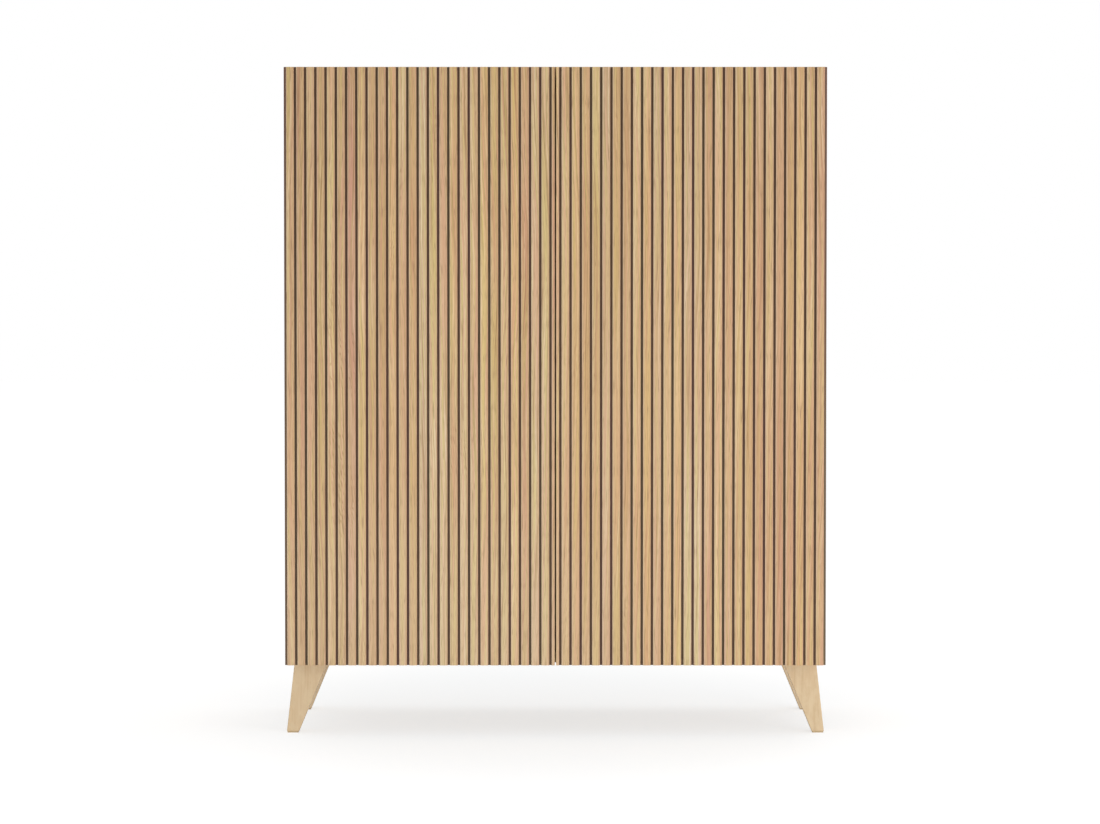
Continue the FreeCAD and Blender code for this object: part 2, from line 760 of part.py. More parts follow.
def make_arm(side, level):
    """A channel on the mounting plate whose neck reaches out and hooks round to the pin."""
    tag = f"{side}_{level}"
    low = f"{hinge_z(level)} - arm_width / 2"
    neck = side_box(f"arm_neck_{tag}", side, "neck_inset", "-arm_length", low, "arm_thickness",
                    "arm_length + hook_inner", "arm_width")
    hook = side_box(f"arm_hook_{tag}", side, "pin_inset", "hook_inner", low,
                    "neck_inset - pin_inset", "arm_thickness", "arm_width")
    bend_axis = (f"{SIDES[side]} * (half_width - neck_inset)", "carcass_front - hook_inner", low)
    bend_disc = rod(f"arm_bend_disc_{tag}", bend_axis, "arm_thickness", "arm_width", "z")
    bend_corner = side_box(f"arm_bend_corner_{tag}", side, "neck_inset", "hook_inner", low,
                           "arm_thickness", "arm_thickness", "arm_width")
    bend = doc.addObject("Part::Common", f"arm_bend_{tag}")
    bend.Base = bend_disc
    bend.Tool = bend_corner
    eye = rod(f"arm_eye_{tag}", (f"{SIDES[side]} * (half_width - pin_inset)",
                                 "carcass_front - pin_forward", low), "eye_radius", "arm_width", "z")
    flanks = []
    for half, z in (("below", f"{low} - hinge_side_play - arm_wall"),
                    ("above", f"{low} + arm_width + hinge_side_play")):
        flanks.append(side_box(f"arm_flank_{tag}_{half}", side, "board_thickness + plate_thickness",
                               "-arm_length", z, "arm_offset + arm_thickness - plate_thickness",
                               "arm_length - plate_rail_start", "arm_wall"))
    crown = side_box(f"arm_crown_{tag}", side, "neck_inset", "-arm_length",
                     f"{low} - hinge_side_play - arm_wall", "arm_thickness",
                     "arm_length - plate_rail_start", "arm_width + 2 * (hinge_side_play + arm_wall)")
    solid = fuse(f"arm_solid_{tag}", [neck, hook, bend, eye, crown] + flanks)
    bore = pin_rod(f"arm_bore_{tag}", side, level, "hinge_pin_play", "2 * arm_width")
    screw_hole = arm_screw_rod(f"arm_screw_hole_{tag}", side, level, "snug")
    node(f"{side}_{level}_hinge_arm", carve(f"{side}_{level}_hinge_arm", solid, [bore, screw_hole]))


def arm_screw_rod(name, side, level, wider):
    """The clamping screw through the arm into the rail of the plate."""
    return side_rod(name, side, "board_thickness", f"screw_radius + {wider}",
                    "arm_offset + arm_thickness", "carcass_front + front_row_inset", hinge_z(level))


def plate_screw_places(prefix, side, level, wider, pilot):
    """The shanks of a mounting plate's screws; a pilot hole stays inside the side panel."""
    rods = []
    for end, sign in (("below", -1), ("above", 1)):
        z = f"{hinge_z(level)} + {sign} * plate_screw_spacing / 2"
        length = "screw_length" if pilot else "screw_length + plate_thickness"
        rods.append(side_rod(f"{prefix}_{side}_{level}_{end}", side, "board_thickness - screw_length",
                             f"screw_radius + {wider}", length,
                             "carcass_front + front_row_inset", z))
    return rods


def make_plate(side, level):
    """A mounting plate with two wings and a rail that the arm sits on."""
    tag = f"{side}_{level}"
    z = hinge_z(level)
    wings = side_box(f"plate_wings_{tag}", side, "board_thickness",
                     "-front_row_inset - plate_wing_width / 2", f"{z} - plate_wing_height / 2",
                     "plate_thickness", "plate_wing_width", "plate_wing_height")
    rail = side_box(f"plate_rail_{tag}", side, "board_thickness", "-arm_length", f"{z} - arm_width / 2",
                    "arm_offset", "arm_length - plate_rail_start", "arm_width")
    holes = plate_screw_places(f"plate_hole_{tag}", side, level, "snug", False)
    holes.append(arm_screw_rod(f"rail_screw_hole_{tag}", side, level, "snug"))
    name = f"{side}_{level}_hinge_plate"
    node(name, carve(name, fuse(f"plate_solid_{tag}", [wings, rail]), holes))


def make_hinge_screws():
    plate_screws, arm_screws = [], []
    for side, level in hinge_places():
        tag = f"{side}_{level}"
        z = hinge_z(level)
        y = "carcass_front + front_row_inset"
        for shank, sign in zip(plate_screw_places("plate_shank", side, level, "0", False), (-1, 1)):
            head = side_rod(f"{shank.Name}_head", side, "board_thickness + plate_thickness",
                            "screw_head_radius", "screw_head_height", y,
                            f"{z} + {sign} * plate_screw_spacing / 2")
            face = (f"{SIDES[side]} * (half_width - board_thickness - plate_thickness - screw_head_height)",
                    y, f"{z} + {sign} * plate_screw_spacing / 2")
            plate_screws.append(screw(f"plate_screw_{tag}_{sign + 1}", shank, head, face, "x"))
        shank = arm_screw_rod(f"arm_shank_{tag}", side, level, "0")
        head = side_rod(f"arm_screw_head_{tag}", side, "neck_inset + arm_thickness",
                        "screw_head_radius", "screw_head_height", y, z)
        face = (f"{SIDES[side]} * (half_width - neck_inset - arm_thickness - screw_head_height)", y, z)
        arm_screws.append(screw(f"arm_screw_{tag}", shank, head, face, "x"))
    node("hinge_plate_screws", group("hinge_plate_screws", plate_screws))
    node("hinge_arm_screws", group("hinge_arm_screws", arm_screws))
    for side in SIDES:
        screws = []
        for level in ("lower", "upper"):
            shanks = cup_screw_rods("cup_shank", side, level, "0")
            for shank, (ear, rise) in zip(shanks, cup_ears()):
                x = f"{SIDES[side]} * (half_width - cup_inset - ear_offset)"
                z = f"{hinge_z(level)} + {rise}"
                head = rod(f"{shank.Name}_head", (x, "door_back + flange_thickness", z),
                           "screw_head_radius", "screw_head_height", "y")
                face = (x, "door_back + flange_thickness + screw_head_height", z)
                screws.append(screw(f"cup_screw_{side}_{level}_{ear}", shank, head, face, "y"))
        node(f"{side}_cup_screws", group(f"{side}_cup_screws", screws))


# ---------------------------------------------------------------- push latches
def latch_screw_places(side):
    """A latch's two screws, one in each ear."""
    x = f"{SIDES[side]} * (latch_centre + latch_width / 2 + latch_ear_length / 2)"
    yield "front", x, "latch_front + latch_ear_length / 2"
    yield "rear", x, "latch_front + latch_length - latch_ear_length / 2"


def latch_screw_rods(prefix, side, wider, head_room):
    """The shanks of a latch's screws, up into the top panel."""
    return [rod(f"{prefix}_{side}_{end}", (x, y, f"ceiling_z - ({head_room})"),
                f"screw_radius + {wider}", f"latch_screw_length + {head_room}", "z")
            for end, x, y in latch_screw_places(side)]


def make_latch(side):
    """A housing with ears and a round bore, and the plunger with a magnet in its tip."""
    sign = SIDES[side]
    shell = box(f"latch_shell_{side}",
                (f"{sign} * latch_centre - latch_width / 2", "latch_front", "ceiling_z - latch_height"),
                ("latch_width", "latch_length", "latch_height"))
    ears = []
    outer = f"{sign} * (latch_centre + latch_width / 2 + latch_ear_length / 2) - latch_ear_length / 2"
    for end, y in (("front", "latch_front"), ("rear", "latch_front + latch_length - latch_ear_length")):
        ears.append(box(f"latch_ear_{side}_{end}", (outer, y, "ceiling_z - latch_ear_thickness"),
                        ("latch_ear_length", "latch_ear_length", "latch_ear_thickness")))
    bore = rod(f"latch_bore_{side}", (f"{sign} * latch_centre", "latch_front", "latch_z"),
               "plunger_radius + plunger_play",
               "plunger_tip + plunger_length + touch_gap - latch_front", "y")
    holes = latch_screw_rods("latch_hole", side, "snug", "latch_ear_thickness")
    name = f"{side}_latch_housing"
    node(name, carve(name, fuse(f"latch_solid_{side}", [shell] + ears), [bore] + holes))
    stem = rod(f"plunger_stem_{side}", (f"{sign} * latch_centre", "plunger_tip", "latch_z"),
               "plunger_radius", "plunger_length", "y")
    seat = rod(f"plunger_seat_{side}", (f"{sign} * latch_centre", "plunger_tip", "latch_z"),
               "magnet_radius + snug", "magnet_thickness", "y")
    node(f"{side}_latch_plunger", carve(f"{side}_latch_plunger", stem, [seat]))
    node(f"{side}_latch_magnet",
         rod(f"{side}_latch_magnet", (f"{sign} * latch_centre", "plunger_tip", "latch_z"),
             "magnet_radius", "magnet_thickness", "y"))


def make_latch_screws():
    screws = []
    for side in SIDES:
        shanks = latch_screw_rods("latch_shank", side, "0", "latch_ear_thickness")
        for shank, (end, x, y) in zip(shanks, latch_screw_places(side)):
            face = (x, y, "ceiling_z - latch_ear_thickness - screw_head_height")
            head = rod(f"latch_head_{side}_{end}", face, "screw_head_radius", "screw_head_height", "z")
            screws.append(screw(f"latch_screw_{side}_{end}", shank, head, face, "z"))
    node("latch_screws", group("latch_screws", screws))


# ---------------------------------------------------------------- anti-tip brackets
def bracket_x(side):
    return f"{SIDES[side]} * (inner_half - bracket_inset)"


def bracket_hole_z():
    return "ceiling_z - bracket_leg / 2 - bracket_thickness / 2"


def bracket_screw_places(side):
    """The two screws that hold a bracket under the top panel."""
    for end, sign in SIDES.items():
        yield (end, f"{bracket_x(side)} + {sign} * bracket_screw_spacing / 2",
               "back_front - bracket_leg / 2 - bracket_thickness / 2")


def bracket_screw_rods(prefix, side, wider, head_room):
    return [rod(f"{prefix}_{side}_{end}", (x, y, f"ceiling_z - ({head_room})"),
                f"screw_radius + {wider}", f"latch_screw_length + {head_room}", "z")
            for end, x, y in bracket_screw_places(side)]


def make_bracket(side):
    """An angle under the top panel, flat against the back panel, with one hole for a wall screw."""
    low_x = f"{bracket_x(side)} - bracket_width / 2"
    flat = box(f"bracket_flat_{side}", (low_x, "back_front - bracket_leg", "ceiling_z - bracket_thickness"),
               ("bracket_width", "bracket_leg", "bracket_thickness"))
    upright = box(f"bracket_upright_{side}",
                  (low_x, "back_front - bracket_thickness", "ceiling_z - bracket_leg"),
                  ("bracket_width", "bracket_thickness", "bracket_leg"))
    hole = rod(f"bracket_wall_hole_{side}",
               (bracket_x(side), "back_front - bracket_thickness", bracket_hole_z()),
               "bracket_hole_radius", "bracket_thickness", "y")
    screw_holes = bracket_screw_rods("bracket_hole", side, "snug", "bracket_thickness")
    node(f"{side}_wall_bracket", carve(f"{side}_wall_bracket",
                                       fuse(f"bracket_solid_{side}", [flat, upright]),
                                       [hole] + screw_holes))


def make_bracket_screws():
    screws = []
    for side in SIDES:
        shanks = bracket_screw_rods("bracket_shank", side, "0", "bracket_thickness")
        for shank, (end, x, y) in zip(shanks, bracket_screw_places(side)):
            face = (x, y, "ceiling_z - bracket_thickness - screw_head_height")
            head = rod(f"bracket_head_{side}_{end}", face, "screw_head_radius", "screw_head_height", "z")
            screws.append(screw(f"bracket_screw_{side}_{end}", shank, head, face, "z"))
    node("bracket_screws", group("bracket_screws", screws))


# ---------------------------------------------------------------- the whole cabinet
make_fittings()
make_top_and_bottom()
for cabinet_side in SIDES:
    make_side(cabinet_side)
make_back()
for shelf_name in ("lower", "upper"):
    make_shelf(shelf_name)
make_shelf_pins()
for leg_row in ("front", "rear"):
    for leg_side in SIDES:
        make_leg(leg_side, leg_row)
make_leg_hardware()
for door_side in SIDES:
    make_door_board(door_side)
    make_slats(door_side)
    make_door_trim(door_side)
    make_latch(door_side)
for hinge_side, hinge_level in hinge_places():
    make_cup(hinge_side, hinge_level)
    make_arm(hinge_side, hinge_level)
    make_plate(hinge_side, hinge_level)
    node(f"{hinge_side}_{hinge_level}_hinge_pin",
         pin_rod(f"{hinge_side}_{hinge_level}_hinge_pin", hinge_side, hinge_level, "0",
                 "hinge_pin_length"))
for bracket_side in SIDES:
    make_bracket(bracket_side)
make_hinge_screws()
make_latch_screws()
make_bracket_screws()
doc.recompute()

# ---------------------------------------------------------------- checks and files
for thing in doc.Objects:
    if "Invalid" in thing.State or "Error" in thing.State:
        raise RuntimeError(f"{thing.Name} failed: {thing.State}")
for label, thing in nodes.items():
    if thing.Shape.isNull() or not thing.Shape.isValid() or not thing.Shape.Solids:
        raise RuntimeError(f"{label} has no valid shape")

os.makedirs("parts", exist_ok=True)
for label, thing in nodes.items():
    thing.Shape.exportStep(f"parts/{label}.step")
print(f"{len(nodes)} nodes")
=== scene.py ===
import math
from collections import namedtuple

import bpy
from mathutils import Euler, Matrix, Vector

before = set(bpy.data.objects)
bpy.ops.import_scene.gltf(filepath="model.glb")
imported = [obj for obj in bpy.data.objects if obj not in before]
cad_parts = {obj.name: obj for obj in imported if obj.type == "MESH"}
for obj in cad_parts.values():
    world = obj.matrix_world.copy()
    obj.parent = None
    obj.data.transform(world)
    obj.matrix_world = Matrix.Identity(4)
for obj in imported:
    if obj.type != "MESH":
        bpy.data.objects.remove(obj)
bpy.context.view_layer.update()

# ---------------------------------------------------------------- sizes, in metres
SLAT_PITCH = 0.015              # from one slat of a door to the next
DOOR_EDGE = 0.399               # outer edge of the doors, from the middle
DOOR_FRONT = -0.195             # face of the door boards, behind the slats
VENEER_LEAF = 0.135             # width of one leaf of veneer on a door front
BOARD_ROUNDING = 0.0005         # how far the edges of the cabinet's boards are broken
DOOR_ROUNDING = 0.0003          # and those of the door boards


# ---------------------------------------------------------------- colours
def rgb(red, green, blue):
    """A colour as it shows on screen, 0 to 255, as the linear colour that shaders take."""
    linear = []
    for channel in (red, green, blue):
        level = channel / 255
        linear.append(level / 12.92 if level <= 0.04045 else ((level + 0.055) / 1.055) ** 2.4)
    return (*linear, 1.0)


def against(shade, base):
    """The colour that turns base into shade when they are multiplied."""
    return (*(part / whole for part, whole in zip(shade[:3], base[:3])), 1.0)


WHITE = (1.0, 1.0, 1.0, 1.0)

Oak = namedtuple("Oak", "light middle dark rosy straw")
SLAT_OAK = Oak(light=rgb(227, 201, 159), middle=rgb(211, 180, 136), dark=rgb(174, 135, 91),
               rosy=rgb(213, 168, 132), straw=rgb(210, 184, 124))
BOARD_OAK = Oak(light=rgb(216, 187, 148), middle=rgb(207, 175, 134), dark=rgb(186, 150, 110),
                rosy=rgb(208, 168, 130), straw=rgb(208, 182, 134))
INSIDE_OAK = Oak(light=rgb(217, 192, 155), middle=rgb(209, 181, 142), dark=rgb(192, 160, 121),
                 rosy=rgb(210, 174, 138), straw=rgb(210, 187, 142))
PORE = rgb(150, 113, 76)
BOARD_RIM = rgb(196, 160, 118)

# each slat's own shade is a place on this ramp: rosy, tan, straw, grey, tan, orange
SLAT_BASE = rgb(211, 177, 131)
SLAT_SHADES = ((0.0, rgb(207, 164, 132)), (0.22, rgb(206, 172, 125)), (0.42, rgb(207, 178, 120)),
               (0.62, rgb(205, 180, 146)), (0.8, rgb(207, 174, 128)), (1.0, rgb(205, 161, 108)))
DARKEST_SLAT = (0.85, 0.79, 0.785, 1.0)      # what the darkest slat is multiplied by: it is warmer too
SLAT_LIFT = (1.075, 1.112, 1.118, 1.0)       # brings the average of all the slats back to the palette
# painted highlight on each slat's left edge and painted shade on its right edge
SLAT_LEFT_PAINTED_HIGHLIGHT = rgb(203, 181, 152)
SLAT_RIGHT_PAINTED_SHADE = rgb(196, 153, 119)
SLAT_SIDE_STAIN = rgb(120, 92, 68)
BROWN_ZONE = rgb(198, 154, 106)

GROUND_STAIN = (rgb(105, 81, 62), rgb(130, 102, 80))
RUSTY_GROUND = rgb(118, 84, 80)
OLIVE_GROUND = rgb(109, 97, 72)

LEG_BEECH = ((0.34, rgb(207, 179, 140)), (0.5, rgb(214, 188, 150)), (0.64, rgb(220, 196, 160)))
# paler beech for the rear legs: painted light against the cabinet's shade
PAINTED_LIGHT_BEECH = rgb(242, 218, 184)
BEECH_FLECK = rgb(184, 152, 112)
END_GRAIN = rgb(170, 134, 92)
RUBBED_BEECH = rgb(226, 206, 170)
DOWEL_BEECH = ((0.35, rgb(196, 166, 122)), (0.6, rgb(220, 194, 154)))

FIBRE = ((0.3, rgb(146, 112, 77)), (0.7, rgb(188, 154, 113)))
FIBRE_CLOUD = rgb(158, 122, 84)
FIBRE_HAIR = rgb(126, 94, 62)

NICKEL, DULL_NICKEL = rgb(206, 203, 197), rgb(176, 172, 165)
ZINC, DULL_ZINC = rgb(188, 190, 192), rgb(150, 153, 157)
ROLLED_STREAK = rgb(232, 232, 230)
HOUSING_PLASTIC = (rgb(205, 202, 195), rgb(217, 215, 209))
PLUNGER_PLASTIC = (rgb(220, 219, 213), rgb(229, 228, 223))
RUBBED_PLASTIC = rgb(234, 233, 228)
BUMPER_PLASTIC = (rgb(228, 230, 230), rgb(244, 245, 245))
FELT = (rgb(184, 160, 124), rgb(216, 194, 158))


# ---------------------------------------------------------------- node building
class Nodes:
    """A node tree that is built step by step; every value is a socket, a number or a colour."""

    def __init__(self, tree):
        self.tree = tree

    def node(self, kind, **settings):
        """A new node with its settings."""
        made = self.tree.nodes.new(kind)
        for key, value in settings.items():
            setattr(made, key, value)
        return made

    def feed(self, socket, value):
        """Link an input to another node's socket, or set its number or colour."""
        if isinstance(value, bpy.types.NodeSocket):
            self.tree.links.new(value, socket)
        else:
            socket.default_value = value

    def math(self, operation, first, second=0.0):
        """One sum; an operation on a single value takes no second."""
        step = self.node("ShaderNodeMath", operation=operation)
        self.feed(step.inputs[0], first)
        self.feed(step.inputs[1], second)
        return step.outputs[0]

    def add(self, first, second):
        return self.math("ADD", first, second)

    def subtract(self, first, second):
        return self.math("SUBTRACT", first, second)

    def multiply(self, first, second):
        return self.math("MULTIPLY", first, second)

    def divide(self, first, second):
        return self.math("DIVIDE", first, second)

    def square(self, value):
        return self.multiply(value, value)

    def split(self, vector):
        """A vector's or colour's three parts."""
        parts = self.node("ShaderNodeSeparateXYZ")
        self.feed(parts.inputs[0], vector)
        return parts.outputs

    def join(self, x, y, z):
        """A vector from its three parts."""
        whole = self.node("ShaderNodeCombineXYZ")
        for socket, value in zip(whole.inputs, (x, y, z)):
            self.feed(socket, value)
        return whole.outputs[0]

    def chance(self, number):
        """A repeatable random colour, and a random value, for each whole number."""
        step = self.node("ShaderNodeTexWhiteNoise", noise_dimensions="1D")
        self.feed(step.inputs["W"], number)
        return step.outputs["Color"], step.outputs["Value"]

    def ramp(self, value, stops, ease="LINEAR"):
        """The colour at a value on a ramp of (place, colour) stops."""
        step = self.node("ShaderNodeValToRGB")
        band = step.color_ramp
        band.interpolation = ease
        while len(band.elements) < len(stops):
            band.elements.new(0.5)
        for element, (place, colour) in zip(band.elements, stops):
            element.position = place
            element.color = colour
        self.feed(step.inputs["Fac"], value)
        return step.outputs["Color"]

    def mix(self, share, under, over, blend="MIX"):
        """Two colours, with this share of the one on top."""
        step = self.node("ShaderNodeMix", data_type="RGBA", blend_type=blend)
        self.feed(step.inputs["Factor"], share)
        self.feed(step.inputs["A"], under)
        self.feed(step.inputs["B"], over)
        return step.outputs["Result"]

    def cover(self, colour, mask, strength, over, blend="MIX"):
        """A colour with another one over it where the mask is 1, as strongly as strength says."""
        return self.mix(self.multiply(mask, strength), colour, over, blend)

    def spread(self, value, low, high):
        """A 0 to 1 value moved to the range low to high."""
        step = self.node("ShaderNodeMapRange")
        self.feed(step.inputs["Value"], value)
        step.inputs["To Min"].default_value = low
        step.inputs["To Max"].default_value = high
        return step.outputs["Result"]

    def between(self, value, low, high):
        """0 at low and beyond it, 1 at high and beyond it, and smooth between them."""
        step = self.node("ShaderNodeMapRange", interpolation_type="SMOOTHSTEP")
        self.feed(step.inputs["Value"], value)
        step.inputs["From Min"].default_value = low
        step.inputs["From Max"].default_value = high
        return step.outputs["Result"]

    def background_rays(self):
        """1 for rays that show the background: straight to the camera, off gloss or through glass."""
        path = self.node("ShaderNodeLightPath").outputs
        mirrored = self.math("MAXIMUM", path["Is Glossy Ray"], path["Is Transmission Ray"])
        return self.math("MAXIMUM", path["Is Camera Ray"], mirrored)


class Shader(Nodes):
    """A material, whose patterns lie in the object's own frame."""

    def __init__(self, name, roughness=0.5, metallic=0.0, specular=0.5):
        self.material = bpy.data.materials.new(name)
        self.material.use_nodes = True
        super().__init__(self.material.node_tree)
        self.surface = self.tree.nodes["Principled BSDF"]
        self.surface.inputs["Roughness"].default_value = roughness
        self.surface.inputs["Metallic"].default_value = metallic
        self.surface.inputs["Specular IOR Level"].default_value = specular
        self.place = self.node("ShaderNodeTexCoord").outputs["Object"]

    def noise(self, cells, detail=2.0, roughness=0.5, vector=None):
        """Noise with so many cells per metre along x, y and z."""
        scaled = self.node("ShaderNodeVectorMath", operation="MULTIPLY")
        self.feed(scaled.inputs[0], self.place if vector is None else vector)
        scaled.inputs[1].default_value = cells
        step = self.node("ShaderNodeTexNoise", noise_dimensions="3D")
        self.feed(step.inputs["Vector"], scaled.outputs[0])
        step.inputs["Scale"].default_value = 1.0
        step.inputs["Detail"].default_value = detail
        step.inputs["Roughness"].default_value = roughness
        return step.outputs["Fac"]

    def facing(self, axis, way):
        """1 on faces that look along +axis (way 1) or -axis (way -1), in the object's own frame."""
        normal = self.node("ShaderNodeTexCoord").outputs["Normal"]
        along = self.split(normal)["XYZ".index(axis)]
        return self.between(self.multiply(along, way), 0.5, 0.7)

    def relief(self, raised, height, sunk, depth):
        """A height from two 0 to 1 patterns, one that stands up and one that is cut in."""
        return self.subtract(self.multiply(raised, height), self.multiply(sunk, depth))

    def finish(self, colour, height, depth, roughness=None):
        """Wire up the surface; height is a 0 to 1 relief and depth its metres."""
        self.feed(self.surface.inputs["Base Color"], colour)
        if roughness is not None:
            self.feed(self.surface.inputs["Roughness"], roughness)
        bump = self.node("ShaderNodeBump")
        bump.inputs["Strength"].default_value = 1.0
        bump.inputs["Distance"].default_value = depth
        self.feed(bump.inputs["Height"], height)
        self.feed(self.surface.inputs["Normal"], bump.outputs["Normal"])
        return self.material


# ---------------------------------------------------------------- wood
# Each noise is given as cells per metre across the grain, through the board and along the grain.
LEANING_GRAIN = (3.5, 2, 1.9)
RIPPLED_GRAIN = (16, 8, 7)
STREAKS = (                                  # cells, noise roughness, share of the grain's tone
    ((75, 20, 1.1), 0.5, 0.26),              # broad bands
    ((330, 90, 2.5), 0.5, 0.46),
    ((760, 240, 6), 0.55, 0.28),             # fine lines
)
GRAIN_STOPS = (0.432, 0.5, 0.563)            # the tones at which oak is dark, middle and light
HUES = ((140, 40, 2.2), (400, 110, 3.2))     # where the oak turns rosy or straw, in two sizes
SMALL_PORES = (1700, 600, 42)
LARGE_PORES = (1000, 360, 24)

ARCH_SEED = 31.0                             # which set of random arches the leaves get
ARCH_CURVE = 9.0                             # how steeply an arch falls to its sides
ARCH_CLIMB = 8.0                             # how fast arch follows arch along the grain
ARCH_LIFT = 3.0                              # how far the arches of the leaves are shifted, at most
ARCH_LINES = 40.0                            # how densely growth lines fill all of these
ARCH_DARKNESS = 0.075                        # how much a growth line darkens the tone
ARCH_WOBBLE = (60, 20, 9)
ARCH_PATCHES = (14, 6, 6)


def along_grain(shader, grain, through):
    """The object's place turned as its board was cut: (across, through, along)."""
    place = dict(zip("xyz", shader.split(shader.place)))
    across = next(axis for axis in "xyz" if axis not in (grain, through))
    return shader.join(place[across], place[through], place[grain])


def wavy(shader, vector, wander=0.022, ripple=0.0022):
    """A place whose across direction is bent: slowly, as the grain leans, and a little in ripples."""
    across, through, along = shader.split(vector)
    lean = shader.spread(shader.noise(LEANING_GRAIN, detail=1.0, vector=vector), -wander, wander)
    bend = shader.spread(shader.noise(RIPPLED_GRAIN, vector=vector), -ripple, ripple)
    across = shader.add(across, shader.add(lean, bend))
    return shader.join(across, through, along)


def streaks(shader, vector):
    """The grain's tone, 0 dark to 1 light, from three sizes of streak."""
    tone = 0.0
    for cells, roughness, share in STREAKS:
        streak = shader.noise(cells, roughness=roughness, vector=vector)
        tone = shader.add(tone, shader.multiply(streak, share))
    return tone


def pores(shader, vector):
    """Short dark dashes of two sizes, as open oak pores show on a lacquered face. 1 in a pore."""
    small = shader.between(shader.noise(SMALL_PORES, detail=1.0, vector=vector), 0.6, 0.72)
    large = shader.between(shader.noise(LARGE_PORES, detail=1.0, vector=vector), 0.58, 0.72)
    return shader.math("MAXIMUM", small, large)


def cathedrals(shader, vector):
    """Arched growth lines, one arch to a leaf of veneer, seen in patches and more in some leaves."""
    across, _, along = shader.split(vector)
    leaf = shader.divide(across, VENEER_LEAF)
    pick, _ = shader.chance(shader.add(shader.math("FLOOR", leaf), ARCH_SEED))
    shift, lift, strength = shader.split(pick)
    off_centre = shader.subtract(shader.math("FRACT", leaf), shader.spread(shift, 0.3, 0.7))

    arch = shader.multiply(shader.square(off_centre), ARCH_CURVE)
    wobble = shader.noise(ARCH_WOBBLE, detail=3.0, roughness=0.7, vector=vector)
    wobble = shader.spread(wobble, -0.45, 0.45)
    rings = shader.add(shader.add(arch, shader.multiply(along, ARCH_CLIMB)), wobble)
    rings = shader.add(rings, shader.multiply(lift, ARCH_LIFT))
    line = shader.between(shader.math("SINE", shader.multiply(rings, ARCH_LINES)), 0.1, 1.0)

    patch = shader.between(shader.noise(ARCH_PATCHES, detail=1.0, vector=vector), 0.52, 0.66)
    flank = shader.between(shader.math("ABSOLUTE", off_centre), 0.05, 0.2)
    strong = shader.between(strength, 0.2, 0.7)
    return shader.multiply(line, shader.multiply(strong, shader.multiply(patch, flank)))


def oak_colour(shader, vector, oak, hues=0.7):
    """Light oak from its streaks: returns the colour, its tone, light or dark, and the pores."""
    tone = streaks(shader, vector)
    arches = cathedrals(shader, vector)
    tone = shader.subtract(tone, shader.multiply(arches, ARCH_DARKNESS))
    stops = tuple(zip(GRAIN_STOPS, (oak.dark, oak.middle, oak.light)))
    colour = shader.ramp(tone, stops, "EASE")
    for cells in HUES:
        hue = shader.noise(cells, roughness=0.55, vector=vector)
        rosy = shader.between(hue, 0.5, 0.63)
        straw = shader.between(hue, 0.5, 0.37)
        colour = shader.cover(colour, rosy, strength=hues, over=oak.rosy)
        colour = shader.cover(colour, straw, strength=hues, over=oak.straw)
    return colour, tone, pores(shader, vector)


def worn_edges(shader, colour, bare, amount):
    """A paler line where edges have been rubbed, broken up by noise."""
    pointiness = shader.node("ShaderNodeNewGeometry").outputs["Pointiness"]
    edge = shader.between(pointiness, 0.53, 0.6)
    patchy = shader.between(shader.noise((90, 90, 40), detail=3.0, roughness=0.6), 0.42, 0.62)
    return shader.cover(colour, shader.multiply(edge, patchy), strength=amount, over=bare)


# ---------------------------------------------------------------- the slats
FIRST_SLAT = DOOR_EDGE - 0.1 * SLAT_PITCH    # slats are counted inward from here, in the outer groove
DOOR_NUMBERS = 60.0                          # keeps the slat numbers of the two doors apart
STAIN_STARTS = 0.0043                        # the stain on a slat's sides: this far in front of the
STAIN_FULL = 0.0036                          # door board it starts, and from here back it is full
BROWN_ZONES = (9, 3, 0.8)

Patch = namedtuple("Patch", "x z reach tall strength colour blend")
# placed patches on the doors: the two multiplied ones are painted shade, the mixed one low on the left
# is painted light
PAINTED_LIGHT_AND_SHADE_PATCHES = (
    Patch(-0.1, 0.86, reach=0.24, tall=0.42, strength=0.6, colour=rgb(255, 249, 236), blend="MULTIPLY"),
    Patch(0.34, 0.35, reach=0.1, tall=0.2, strength=1.0, colour=rgb(246, 240, 238), blend="MULTIPLY"),
    Patch(-0.2, 0.1, reach=0.4, tall=0.3, strength=0.3, colour=rgb(217, 195, 158), blend="MIX"),
)


def slat_place(shader):
    """Which slat a point is on, as a number of its own, and how far across it, 0 left to 1 right."""
    x = shader.split(shader.place)[0]
    inward = shader.subtract(FIRST_SLAT, shader.math("ABSOLUTE", x))
    steps = shader.divide(inward, SLAT_PITCH)
    side = shader.math("SIGN", x)
    number = shader.add(shader.math("FLOOR", steps), shader.multiply(side, DOOR_NUMBERS))
    from_middle = shader.subtract(0.5, shader.math("FRACT", steps))
    across = shader.add(0.5, shader.multiply(from_middle, side))
    return number, across


def slat_tint(shader, colour, number):
    """Each slat's own shade of oak, and how dark it is."""
    pick, light = shader.chance(number)
    kind, amount, _ = shader.split(pick)
    shades = [(place, against(shade, SLAT_BASE)) for place, shade in SLAT_SHADES]
    shade = shader.ramp(kind, shades)
    colour = shader.mix(shader.spread(amount, 0.25, 0.8), colour, shade, "MULTIPLY")
    level = shader.ramp(light, ((0.0, DARKEST_SLAT), (1.0, WHITE)))
    colour = shader.mix(1.0, colour, level, "MULTIPLY")
    return shader.mix(1.0, colour, SLAT_LIFT, "MULTIPLY")


def brown_zones_and_painted_light(shader, colour):
    """Slow changes of tone over the doors: random brown zones, and a few placed patches of painted shade
    and painted light.
    """
    zone = shader.between(shader.noise(BROWN_ZONES), 0.48, 0.66)
    colour = shader.cover(colour, zone, strength=0.4, over=BROWN_ZONE)
    x, _, z = shader.split(shader.place)
    # painted shade and painted light, in placed patches
    for patch in PAINTED_LIGHT_AND_SHADE_PATCHES:
        side = shader.divide(shader.subtract(x, patch.x), patch.reach)
        rise = shader.divide(shader.subtract(z, patch.z), patch.tall)
        away = shader.add(shader.square(side), shader.square(rise))
        inside = shader.between(away, 1.0, 0.0)
        colour = shader.cover(colour, inside, patch.strength, patch.colour, patch.blend)
    return colour


